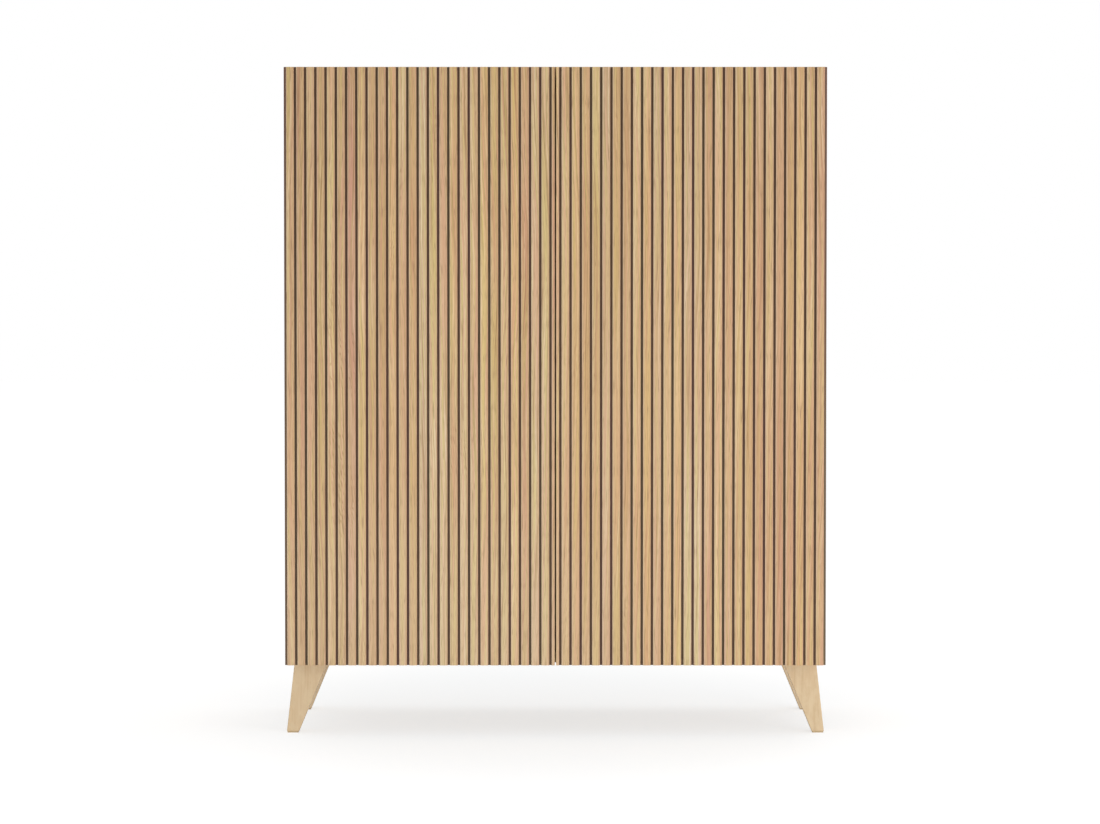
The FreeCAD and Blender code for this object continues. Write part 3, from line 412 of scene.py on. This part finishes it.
def slat_oak():
    """Slats cut from leaves of oak veneer; each slat also has a tint of its own."""
    shader = Shader("slat_oak", specular=0.42)
    vector = wavy(shader, shader.place)
    colour, tone, holes = oak_colour(shader, vector, SLAT_OAK, hues=0.8)
    number, across = slat_place(shader)
    colour = slat_tint(shader, colour, number)
    colour = brown_zones_and_painted_light(shader, colour)
    # painted highlight along each slat's left edge, painted shade along its right edge
    left_painted_highlight = shader.between(across, 0.32, 0.14)
    right_painted_shade = shader.between(across, 0.7, 0.86)
    colour = shader.cover(colour, left_painted_highlight, strength=0.55, over=SLAT_LEFT_PAINTED_HIGHLIGHT)
    colour = shader.cover(colour, right_painted_shade, strength=0.55, over=SLAT_RIGHT_PAINTED_SHADE)
    colour = shader.cover(colour, holes, strength=0.68, over=PORE)
    # the sides of the slats, down in the grooves, are stained with the ground
    y = shader.split(shader.place)[1]
    groove = shader.between(y, DOOR_FRONT - STAIN_STARTS, DOOR_FRONT - STAIN_FULL)
    colour = shader.cover(colour, groove, strength=0.78, over=SLAT_SIDE_STAIN)
    relief = shader.relief(raised=tone, height=0.4, sunk=holes, depth=0.6)
    return shader.finish(colour, relief, depth=0.00006, roughness=shader.spread(tone, 0.58, 0.44))


# ---------------------------------------------------------------- boards and legs
def board_oak(name, grain, through, oak):
    """Veneered board: grain along one axis, its thickness along another, and a darker banded edge."""
    shader = Shader(name, specular=0.3)
    vector = wavy(shader, along_grain(shader, grain, through))
    colour, tone, holes = oak_colour(shader, vector, oak, hues=0.5)
    colour = shader.cover(colour, holes, strength=0.4, over=PORE)
    rim = shader.add(shader.facing("Y", 1), shader.facing("Y", -1))
    colour = shader.cover(colour, rim, strength=0.25, over=BOARD_RIM)
    relief = shader.relief(raised=tone, height=0.4, sunk=holes, depth=0.5)
    return shader.finish(colour, relief, depth=0.00005, roughness=shader.spread(tone, 0.6, 0.48))


def door_board():
    """Door board: a dark stained ground in front, oak decor on its edges and back."""
    shader = Shader("door_board", specular=0.3)
    vector = wavy(shader, shader.place)
    colour, tone, holes = oak_colour(shader, vector, INSIDE_OAK)
    colour = shader.cover(colour, holes, strength=0.4, over=PORE)
    stain = shader.mix(shader.noise((900, 300, 14), roughness=0.6), *GROUND_STAIN)
    drift = shader.noise((42, 1, 1.3), detail=1.0)
    rusty = shader.between(drift, 0.52, 0.66)
    olive = shader.between(drift, 0.48, 0.34)
    stain = shader.cover(stain, rusty, strength=0.6, over=RUSTY_GROUND)
    stain = shader.cover(stain, olive, strength=0.6, over=OLIVE_GROUND)
    y = shader.split(shader.place)[1]
    front = shader.between(y, DOOR_FRONT + 0.0006, DOOR_FRONT + 0.0002)
    colour = shader.mix(front, colour, stain)
    return shader.finish(colour, tone, depth=0.00005, roughness=shader.spread(tone, 0.64, 0.5))


def leg_wood(name, pale=0.0):
    """Pale lacquered beech: fine grain along the plank, flecks, darker end grain and rubbed edges; pale
    mixes in a paler beech as painted light.
    """
    shader = Shader(name, specular=0.35)
    vector = wavy(shader, shader.place, wander=0.004, ripple=0.0015)
    band = shader.noise((120, 60, 7), vector=vector)
    line = shader.noise((700, 300, 22), roughness=0.6, vector=vector)
    fleck = shader.between(shader.noise((1500, 900, 170), detail=1.0, vector=vector), 0.6, 0.74)
    tone = shader.add(shader.multiply(band, 0.6), shader.multiply(line, 0.4))
    colour = shader.ramp(tone, LEG_BEECH, "EASE")
    # painted light: the pale share lightens the rear legs, which stand in the cabinet's shade
    colour = shader.mix(pale, colour, PAINTED_LIGHT_BEECH)
    colour = shader.cover(colour, fleck, strength=0.18, over=BEECH_FLECK)
    ends = shader.add(shader.facing("Z", 1), shader.facing("Z", -1))
    colour = shader.cover(colour, ends, strength=0.4, over=END_GRAIN)
    colour = worn_edges(shader, colour, RUBBED_BEECH, 0.35)
    relief = shader.relief(raised=tone, height=0.5, sunk=fleck, depth=0.4)
    return shader.finish(colour, relief, depth=0.00006, roughness=shader.spread(tone, 0.5, 0.38))


def raw_dowel():
    """Bare turned beech, for the dowels."""
    shader = Shader("dowel_beech", roughness=0.75, specular=0.2)
    line = shader.noise((900, 900, 40), detail=3.0, roughness=0.6)
    return shader.finish(shader.ramp(line, DOWEL_BEECH), line, depth=0.0001)


def back_board():
    """The thin back: oak print inside, plain brown fibre with loose darker hairs outside."""
    shader = Shader("back_board", specular=0.25)
    colour, tone, _ = oak_colour(shader, wavy(shader, shader.place), INSIDE_OAK)
    felted = shader.noise((500, 500, 500), detail=4.0, roughness=0.7)
    clouds = shader.between(shader.noise((9, 9, 9), detail=4.0, roughness=0.6), 0.35, 0.65)
    hairs = shader.between(shader.noise((160, 160, 60), detail=3.0, roughness=0.7), 0.56, 0.7)
    fibre = shader.cover(shader.ramp(felted, FIBRE), clouds, strength=0.45, over=FIBRE_CLOUD)
    fibre = shader.cover(fibre, hairs, strength=0.4, over=FIBRE_HAIR)
    outside = shader.facing("Y", 1)
    colour = shader.mix(outside, colour, fibre)
    relief = shader.add(shader.multiply(outside, felted), shader.multiply(tone, 0.2))
    return shader.finish(colour, relief, depth=0.00012, roughness=shader.spread(outside, 0.55, 0.82))


# ---------------------------------------------------------------- metal, plastic, felt
def plated(name, base, dull, brushed, roughness):
    """Plated steel: rolled streaks, cloudy plating and slightly dull rubbed spots."""
    shader = Shader(name, roughness, metallic=0.72)
    rolled = shader.noise(brushed, detail=3.0, roughness=0.6)
    clouds = shader.noise((60, 60, 60), detail=3.0, roughness=0.6)
    colour = shader.cover(base, clouds, strength=0.6, over=dull)
    colour = shader.cover(colour, rolled, strength=0.25, over=ROLLED_STREAK)
    spots = shader.between(clouds, 0.45, 0.65)
    rough = shader.spread(rolled, roughness - 0.08, roughness + 0.1)
    rough = shader.add(rough, shader.multiply(spots, 0.08))
    return shader.finish(colour, rolled, depth=0.00003, roughness=rough)


def moulded(name, colours, roughness):
    """Moulded plastic with a fine spark texture and faint colour drift."""
    shader = Shader(name, roughness, specular=0.4)
    drift = shader.noise((25, 25, 25), detail=3.0)
    grain = shader.noise((900, 900, 900))
    colour = worn_edges(shader, shader.mix(drift, *colours), RUBBED_PLASTIC, 0.3)
    rough = shader.spread(grain, roughness - 0.06, roughness + 0.1)
    return shader.finish(colour, grain, depth=0.00004, roughness=rough)


def clear_bumper():
    """A soft, half clear bumper dot."""
    shader = Shader("clear_bumper", roughness=0.25, specular=0.5)
    shader.surface.inputs["Transmission Weight"].default_value = 0.55
    shader.surface.inputs["IOR"].default_value = 1.45
    haze = shader.noise((220, 220, 220), detail=3.0, roughness=0.6)
    colour = shader.mix(haze, *BUMPER_PLASTIC)
    return shader.finish(colour, haze, depth=0.00003, roughness=shader.spread(haze, 0.18, 0.36))


def felt_glide():
    """Felt under the feet, near the wood's own colour."""
    shader = Shader("felt_glide", roughness=0.95, specular=0.1)
    shader.surface.inputs["Sheen Weight"].default_value = 0.4
    fluff = shader.noise((2600, 2600, 2600), detail=4.0, roughness=0.7)
    return shader.finish(shader.mix(fluff, *FELT), fluff, depth=0.00035)


# ---------------------------------------------------------------- dressing the CAD nodes
def matching(*endings):
    """The CAD nodes whose names end so."""
    return [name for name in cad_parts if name.endswith(endings)]


def dress(names, material, rounding=None):
    """Give CAD nodes their finish and, where it shows, softly broken edges."""
    for name in names:
        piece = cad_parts[name]
        piece.data.materials.clear()
        piece.data.materials.append(material)
        for face in piece.data.polygons:
            face.material_index = 0
        if rounding:
            soften(piece, rounding)


def soften(piece, width):
    """Round a piece's sharp edges a little; the mesh itself stays as it is."""
    weld = piece.modifiers.new("weld", "WELD")
    weld.merge_threshold = 0.00001
    bevel = piece.modifiers.new("edges", "BEVEL")
    bevel.width = width
    bevel.segments = 2
    bevel.limit_method = "ANGLE"
    bevel.angle_limit = math.radians(40)
    bevel.harden_normals = False
    normals = piece.modifiers.new("normals", "WEIGHTED_NORMAL")
    normals.keep_sharp = False


def dress_cabinet():
    """Wood: boards, back, legs, doors, slats and dowels."""
    dress(["top_panel", "bottom_panel"], board_oak("level_board", "x", "z", BOARD_OAK), BOARD_ROUNDING)
    dress(matching("_side_panel"), board_oak("upright_board", "z", "x", BOARD_OAK), BOARD_ROUNDING)
    dress(["upper_shelf", "lower_shelf"], board_oak("shelf_board", "x", "z", INSIDE_OAK), BOARD_ROUNDING)
    dress(["back_panel"], back_board())
    dress(["front_left_leg", "front_right_leg"], leg_wood("leg_wood"))
    # the rear legs get a paler copy of the leg wood: painted light where the cabinet shades them
    dress(["rear_left_leg", "rear_right_leg"], leg_wood("rear_leg_painted_light_wood", pale=0.4))
    dress(matching("_door_board"), door_board(), DOOR_ROUNDING)
    dress(matching("_door_slats"), slat_oak())
    dress(["wood_dowels"], raw_dowel())


def dress_hardware():
    """Fittings: plated steel, moulded plastic, bumpers and felt."""
    nickel = plated("nickel", NICKEL, DULL_NICKEL, brushed=(300, 300, 1500), roughness=0.34)
    zinc = plated("zinc", ZINC, DULL_ZINC, brushed=(900, 900, 900), roughness=0.4)
    dress(matching("_hinge_arm", "_hinge_plate", "_hinge_cup"), nickel)
    dress(matching("_latch_magnet"), nickel)
    dress(["cam_locks", "cam_bolts", "shelf_pins", "leg_bolts", "leg_inserts"], zinc)
    dress(matching("_wall_bracket", "_screws", "_hinge_pin", "_strike_plate"), zinc)
    dress(matching("_latch_housing"), moulded("latch_plastic", HOUSING_PLASTIC, 0.42))
    dress(matching("_latch_plunger"), moulded("plunger_plastic", PLUNGER_PLASTIC, 0.34))
    dress(matching("_door_bumpers"), clear_bumper())
    dress(["leg_glides"], felt_glide())


# ---------------------------------------------------------------- studio
FLOOR_SIZE = 30.0
SKY = 0.57                                 # how strong the even light from all sides is
FLOOR_PAINT = 0.49                         # the part of the floor's white that light and shadow change
FLOOR_GLOW = 1.006 - FLOOR_PAINT * SKY     # the part that they don't; far off, both add up to white
FLOOR_PAINTED_SHADOW = (0.905, 0.922, 0.932, 1.0)    # the glow's colour close to the cabinet: a painted shadow
FLOOR_BOUNCE = 0.86                        # how pale the floor is for the light it throws back
PAINTED_SHADOW_MIDDLE_Y = 0.1                        # the painted shadow is an ellipse round this point behind x = y = 0
PAINTED_SHADOW_REACH = (0.52, 0.8)                   # its half widths, to the sides and to the front and back
PAINTED_SHADOW_FADE = (1.4, 0.3)                     # none beyond the first, full within the second: squared
                                           # distances from its middle, in half widths

Lamp = namedtuple("Lamp", "name place target size watts")
LAMPS = (
    Lamp("key", place=(2.0, -2.3, 0.6), target=(0, 0, 0.4), size=(1.6, 1.0), watts=17),
    Lamp("low", place=(0.0, -1.6, 0.08), target=(0, 0, 0.14), size=(3.2, 0.12), watts=10.5),
    Lamp("back", place=(0.9, 1.9, 2.8), target=(0, 0, 0.4), size=(1.6, 1.0), watts=7),
)

CAMERA_PLACE = (0.0, -5.8006, 0.7172)
CAMERA_TILT = 2.1                          # degrees, down
SENSOR_WIDTH = 36.0                        # millimetres, as is the lens
LENS = 124.66
LENS_SHIFT = (-0.0049, -0.0195)            # only what the photograph's framing needs


def floor_paint():
    """White to the camera, with its shadows, and a very pale grey painted shadow round the cabinet."""
    shader = Shader("floor")
    seen = shader.background_rays()
    x, y, _ = shader.split(shader.place)
    beside = shader.divide(x, PAINTED_SHADOW_REACH[0])
    ahead = shader.divide(shader.subtract(y, PAINTED_SHADOW_MIDDLE_Y), PAINTED_SHADOW_REACH[1])
    # painted shadow: the floor's glow turns pale grey within this ellipse round the cabinet
    near = shader.between(shader.add(shader.square(beside), shader.square(ahead)), *PAINTED_SHADOW_FADE)
    glow = shader.node("ShaderNodeEmission")
    shader.feed(glow.inputs["Color"], shader.mix(near, WHITE, FLOOR_PAINTED_SHADOW))
    shader.feed(glow.inputs["Strength"], shader.multiply(seen, FLOOR_GLOW))
    paint = shader.node("ShaderNodeBsdfDiffuse")
    shader.feed(paint.inputs["Color"], shader.spread(seen, FLOOR_BOUNCE, FLOOR_PAINT))
    both = shader.node("ShaderNodeAddShader")
    shader.feed(both.inputs[0], paint.outputs[0])
    shader.feed(both.inputs[1], glow.outputs[0])
    shader.feed(shader.tree.nodes["Material Output"].inputs["Surface"], both.outputs[0])
    shader.tree.nodes.remove(shader.surface)
    return shader.material


def studio_floor():
    """One large flat face at the height of the feet."""
    mesh = bpy.data.meshes.new("floor")
    half = FLOOR_SIZE / 2
    corners = [(-half, -half, 0), (half, -half, 0), (half, half, 0), (-half, half, 0)]
    mesh.from_pydata(corners, [], [(0, 1, 2, 3)])
    mesh.materials.append(floor_paint())
    floor = bpy.data.objects.new("floor", mesh)
    bpy.context.scene.collection.objects.link(floor)


def studio_world():
    """White behind everything; for the light on the object it is an even, softer white."""
    world = bpy.data.worlds.new("studio")
    bpy.context.scene.world = world
    world.use_nodes = True
    nodes = Nodes(world.node_tree)
    background = nodes.tree.nodes["Background"]
    background.inputs["Color"].default_value = WHITE
    strength = nodes.spread(nodes.background_rays(), SKY, 1.0)
    nodes.feed(background.inputs["Strength"], strength)


def soft_box(lamp):
    """A soft lamp that the camera doesn't see."""
    light = bpy.data.lights.new(lamp.name, "AREA")
    light.shape = "RECTANGLE"
    light.size, light.size_y = lamp.size
    light.energy = lamp.watts
    box = bpy.data.objects.new(lamp.name, light)
    box.location = lamp.place
    aim = Vector(lamp.target) - Vector(lamp.place)
    box.rotation_mode = "QUATERNION"
    box.rotation_quaternion = aim.to_track_quat("-Z", "Y")
    box.visible_camera = False
    bpy.context.scene.collection.objects.link(box)


def camera():
    """A long lens in front of the cabinet, a little above its middle and tipped slightly down."""
    data = bpy.data.cameras.new("camera")
    data.sensor_width = SENSOR_WIDTH
    data.lens = LENS
    data.shift_x, data.shift_y = LENS_SHIFT
    data.clip_start = 0.1
    data.clip_end = 100.0
    eye = bpy.data.objects.new("camera", data)
    eye.location = CAMERA_PLACE
    eye.rotation_euler = Euler((math.radians(90 - CAMERA_TILT), 0, 0))
    bpy.context.scene.collection.objects.link(eye)
    bpy.context.scene.camera = eye


def studio():
    """The surroundings: even light, a white floor, three soft lamps and the camera."""
    bpy.context.scene.view_settings.view_transform = "Standard"
    studio_world()
    studio_floor()
    for lamp in LAMPS:
        soft_box(lamp)
    camera()


dress_cabinet()
dress_hardware()
studio()
